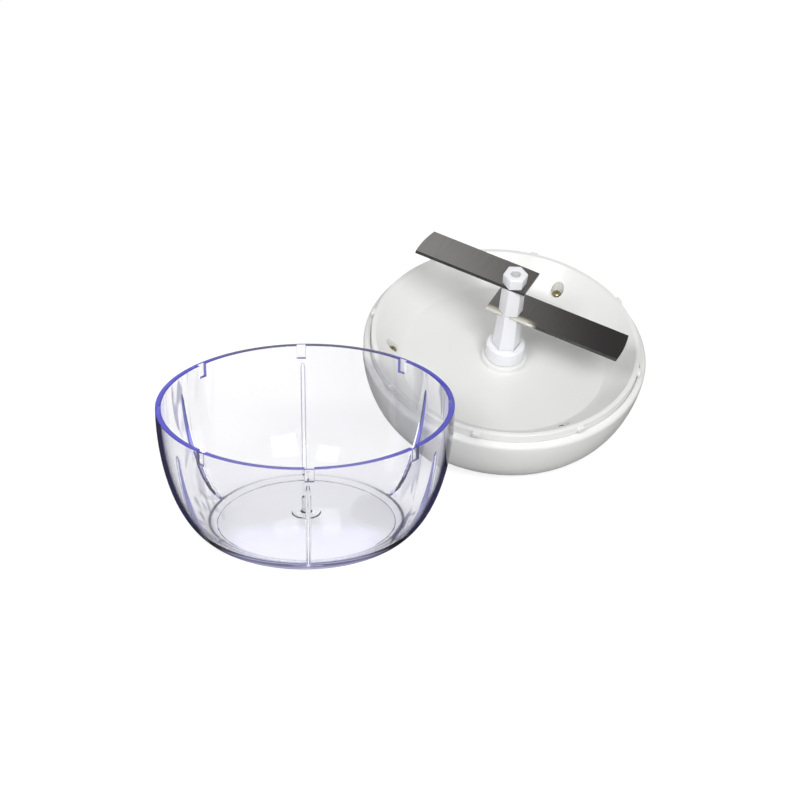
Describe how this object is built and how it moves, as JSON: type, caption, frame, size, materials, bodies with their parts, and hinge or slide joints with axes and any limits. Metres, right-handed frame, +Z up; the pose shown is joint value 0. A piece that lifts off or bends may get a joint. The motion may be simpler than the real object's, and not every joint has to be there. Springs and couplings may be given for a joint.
{
  "type": "hand cranked food chopper",
  "caption": "Hand cranked food chopper: a clear bowl with a white domed lid lying upside down beside it, with stacked blades on a hexagonal tower and a geared crank.",
  "frame": {"origin": "middle of the bowl's flat underside, on the surface that the bowl and the lid stand on", "axes": "+Z up out of the bowl; the lid stands towards +X and +Y, and the side towards -Y is the one the picture looks at"},
  "size_m": [0.2776, 0.2828, 0.1229],
  "materials": {
    "clear_plastic": "clear, polished, with violet edges",
    "white_plastic": "smooth satin gloss",
    "tower_plastic": "slightly translucent, satin gloss",
    "gear_plastic": "as moulded",
    "bush_plastic": "as moulded",
    "steel": "zinc plated or rolled",
    "blade_steel": "rolled stainless sheet, ground at one edge",
    "brass_screw": "yellow plated"
  },
  "bodies": {
    "bowl": {"bowl": "clear_plastic"},
    "lid": {"lid_dome": "white_plastic", "lid_liner": "white_plastic", "liner_screw_1": "brass_screw", "liner_screw_2": "brass_screw", "liner_screw_3": "brass_screw", "spindle_bush": "bush_plastic", "crank_bush": "bush_plastic", "idler_pin_1": "steel", "idler_pin_2": "steel", "idler_pin_3": "steel", "gear_keeper": "steel", "keeper_screw_1": "steel", "keeper_screw_2": "steel", "keeper_screw_3": "steel"},
    "crank": {"ring_gear": "gear_plastic", "crank_arm": "white_plastic", "crank_washer": "steel", "crank_screw": "steel", "crank_cap": "white_plastic", "knob_pin": "steel", "knob_washer": "bush_plastic"},
    "knob": {"crank_knob": "white_plastic", "knob_cap": "white_plastic"},
    "idler_1": {"idler_gear_1": "gear_plastic"},
    "idler_2": {"idler_gear_2": "gear_plastic"},
    "idler_3": {"idler_gear_3": "gear_plastic"},
    "spindle": {"drive_socket": "tower_plastic", "sun_gear": "gear_plastic", "spindle_screw": "steel"},
    "tower": {"tower_foot": "tower_plastic", "lower_blade": "blade_steel", "tower_spacer": "tower_plastic", "upper_blade": "blade_steel", "tower_nut": "tower_plastic"}
  },
  "joints": [
    {"name": "lid_lift", "type": "slide", "parent": "bowl", "child": "lid", "axis": [0.1237, 0.1219, 0.9848], "range_m": [0, 0.06]},
    {"name": "crank_spin", "type": "hinge", "parent": "lid", "child": "crank", "pos_m": [0.11386, 0.11223, 0.0638], "axis": [0.0839, -0.3365, 0.9379], "continuous": true},
    {"name": "knob_spin", "type": "hinge", "parent": "crank", "child": "knob", "pos_m": [0.09618, 0.18315, 0.02472], "axis": [0.0839, -0.3365, 0.9379], "continuous": true},
    {"name": "idler_1_spin", "type": "hinge", "parent": "lid", "child": "idler_1", "pos_m": [0.13866, 0.1214, 0.03821], "axis": [0.0839, -0.3365, 0.9379], "continuous": true},
    {"name": "idler_2_spin", "type": "hinge", "parent": "lid", "child": "idler_2", "pos_m": [0.09834, 0.14227, 0.04931], "axis": [0.0839, -0.3365, 0.9379], "continuous": true},
    {"name": "idler_3_spin", "type": "hinge", "parent": "lid", "child": "idler_3", "pos_m": [0.09831, 0.09828, 0.03353], "axis": [0.0839, -0.3365, 0.9379], "continuous": true},
    {"name": "spindle_spin", "type": "hinge", "parent": "lid", "child": "spindle", "pos_m": [0.11386, 0.11223, 0.0638], "axis": [0.0839, -0.3365, 0.9379], "continuous": true},
    {"name": "tower_pull", "type": "slide", "parent": "spindle", "child": "tower", "axis": [0.0839, -0.3365, 0.9379], "range_m": [0, 0.02]}
  ],
  "couplings": [
    {"joint": "idler_1_spin", "follows": "crank_spin", "ratio": 2.6667},
    {"joint": "idler_2_spin", "follows": "crank_spin", "ratio": 2.6667},
    {"joint": "idler_3_spin", "follows": "crank_spin", "ratio": 2.6667},
    {"joint": "spindle_spin", "follows": "crank_spin", "ratio": -4}
  ]
}
